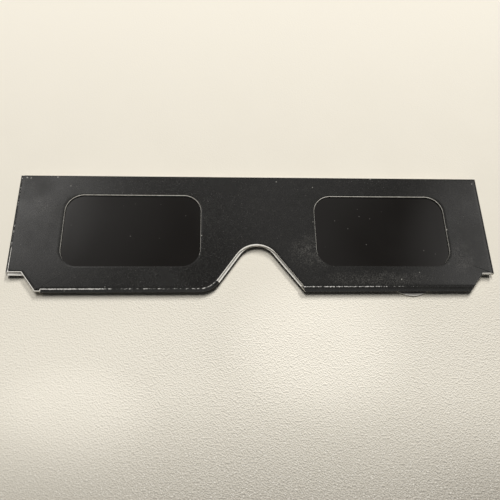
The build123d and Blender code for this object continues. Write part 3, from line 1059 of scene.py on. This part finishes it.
def makeFilm(side):
    low, high = boxOf(side + "_filter")
    look, phase = filmLook, filmLook["phase"][side]
    x, y = (stretch((low[k], 0), (high[k], 0), look["step"])[:, 0] for k in (0, 1))
    x, y = np.meshgrid(x, y, indexing="ij")
    wave = np.sin(x / look["long"][0] + phase) * np.cos(y / look["long"][1])
    wave += look["shortShare"] * np.sin(x / look["short"][0] - y / look["short"][1] + phase)
    calm = np.minimum(np.minimum(x - low[0], high[0] - x), np.minimum(y - low[1], high[1] - y))
    calm = np.clip((calm - cut["filmMargin"]) / look["calmEdge"], 0, 1)
    wave = look["ripple"] * (wave / (1 + look["shortShare"])) * calm
    points = np.array([np.stack([x, y, level + wave], axis=-1) for level in (high[2], low[2])])
    count = x.size
    faces, number = gridFaces(*x.shape).reshape(-1, 4), np.arange(count).reshape(x.shape)
    border = np.concatenate([number[:-1, 0], number[-1, :-1], number[:0:-1, -1], number[0, :0:-1]])
    after = np.roll(border, -1)
    walls = np.stack([border, after, after + count, border + count], axis=-1)
    allFaces = np.concatenate([faces, faces + count, walls])
    part = (points, allFaces, np.zeros(len(allFaces), int), np.zeros(2 * count))
    return makePiece(side + "_film", [part], [film])


for side in sides:
    settle(makeFilm(side), "front", side + "_filter")

for node in ("left_glue_frame", "right_glue_frame", "brow_glue_strip"):
    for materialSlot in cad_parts[node].material_slots:
        materialSlot.material = glue
print("glue dressed")


# Table, sky, lamps and camera
def makeTable():
    bpy.ops.mesh.primitive_plane_add(size=tableLook["size"])
    table = bpy.context.object
    table.name = "table_top"
    table.location.z = -tableLook["under"] / perMetre
    table.data.materials.append(paleTable())


# A dim sky. What stands behind the object and in its gloss is brighter: soft patches, placed by their slant
# to the right and towards the brow, and a pale band low round the horizon.
sky = dict(
    base=0.035, tint=(1.0, 0.98, 0.95), band=0.8, bandTop=(0.2, 0.34),
    patches=[
        # slant right, slant to the brow, bright core and soft rim in degrees, strength
        (-26, 28.5, 2, 11, 1.8),
        (-26, 32, 4, 21, 0.75),
        (8, 32, 3, 14, 0.5),
        (9, 17, 3, 9, 0.3),
        (38, 22, 4, 17, 1.7),
        (0, -38, 12, 50, 0.5),
    ],
)


def makeSky():
    world = bpy.data.worlds.new("soft_sky")
    bpy.context.scene.world = world
    world.use_nodes = True
    tree = world.node_tree
    tree.nodes.clear()
    way = put(tree, "TexCoord").outputs["Generated"]
    level = 0.0
    for right, brow, core, rim, strength in sky["patches"]:
        direction = Vector((math.tan(math.radians(right)), math.tan(math.radians(brow)), 1)).normalized()
        facing = measure(tree, "DOT_PRODUCT", way, direction)
        low, high = (math.cos(math.radians(v)) for v in (rim, core))
        level = total(tree, ease(tree, facing, low, high, 0.0, strength), level)
    band = ease(tree, axesOf(tree, way)["Z"], *sky["bandTop"], sky["band"], 0.0)
    ray = put(tree, "LightPath").outputs
    seen = largest(tree, ray["Is Camera Ray"], ray["Is Glossy Ray"])
    seen = largest(tree, seen, ray["Is Transmission Ray"])
    level = product(tree, total(tree, band, level), seen)
    level = total(tree, level, sky["base"])
    shade = put(tree, "Background", {"Color": (*sky["tint"], 1), "Strength": level})
    put(tree, "OutputWorld", {"Surface": shade.outputs[0]})


# Two long ceiling panels on the brow side
lamps = dict(
    colour=(1.0, 0.975, 0.94), height=1.4,
    right=dict(place=(0.54, 1.30), size=(0.20, 0.80), power=28.5),
    left=dict(place=(-0.14, 0.62), size=(0.24, 0.88), power=16.6),
)


def makeLamp(side):
    look = lamps[side]
    light = bpy.data.lights.new(side + "_lamp", "AREA")
    light.shape = "RECTANGLE"
    light.size, light.size_y = look["size"]
    light.energy, light.color = look["power"], lamps["colour"]
    holder = addObject(side + "_lamp", light)
    holder.location = (*look["place"], lamps["height"])
    holder.visible_glossy = False
    holder.visible_camera = False


# The photograph's camera, which looks straight down until it is turned, in degrees
view = dict(
    place=(-10.0, -60.3, 142.95), tilt=21.31, roll=-3.15, turn=0.06,
    lens=36.15, sensor=36.0, clip=(0.005, 50.0),
)


def makeCamera():
    data = bpy.data.cameras.new("photo_camera")
    data.lens, data.sensor_width = view["lens"], view["sensor"]
    data.clip_start, data.clip_end = view["clip"]
    camera = addObject("photo_camera", data)
    turning = Matrix.Identity(4)
    for key, axis in (("tilt", "X"), ("roll", "Y"), ("turn", "Z")):
        turning = turning @ Matrix.Rotation(math.radians(view[key]), 4, axis)
    camera.matrix_world = Matrix.Translation([v / perMetre for v in view["place"]]) @ turning
    bpy.context.scene.camera = camera


makeTable()
makeSky()
makeLamp("left")
makeLamp("right")
makeCamera()
bpy.context.scene.view_settings.view_transform = "Standard"
print("table, light and camera ready")
